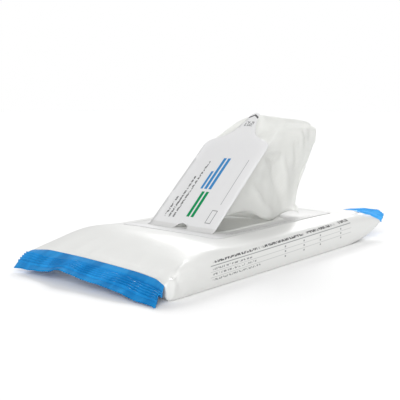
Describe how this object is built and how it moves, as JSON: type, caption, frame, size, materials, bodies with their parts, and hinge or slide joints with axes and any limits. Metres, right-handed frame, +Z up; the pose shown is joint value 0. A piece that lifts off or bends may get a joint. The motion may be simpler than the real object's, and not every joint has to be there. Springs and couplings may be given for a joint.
{
  "type": "wet wipes pack",
  "caption": "Opened flow-wrap pack with crimped blue end seals, a peeled-up resealable label and one wipe drawn up through its opening.",
  "frame": {"origin": "centre of the bounding box's bottom, on the surface that the pack lies on", "axes": "+X along the pack, from the end where the flap is hinged to the end where the wipe comes out; +Y across the pack; +Z up"},
  "size_m": [0.275, 0.1324, 0.1049],
  "materials": {
    "film": "satin white polyethylene film, printed blue at both end seals",
    "label": "semi-gloss white printed label film",
    "wipe": "damp white translucent nonwoven"
  },
  "bodies": {
    "root": {"film_sleeve": "film", "reseal_label": "label", "opening_panel": "film", "wipes_stack": "wipe", "pulled_wipe": "wipe"}
  },
  "joints": []
}
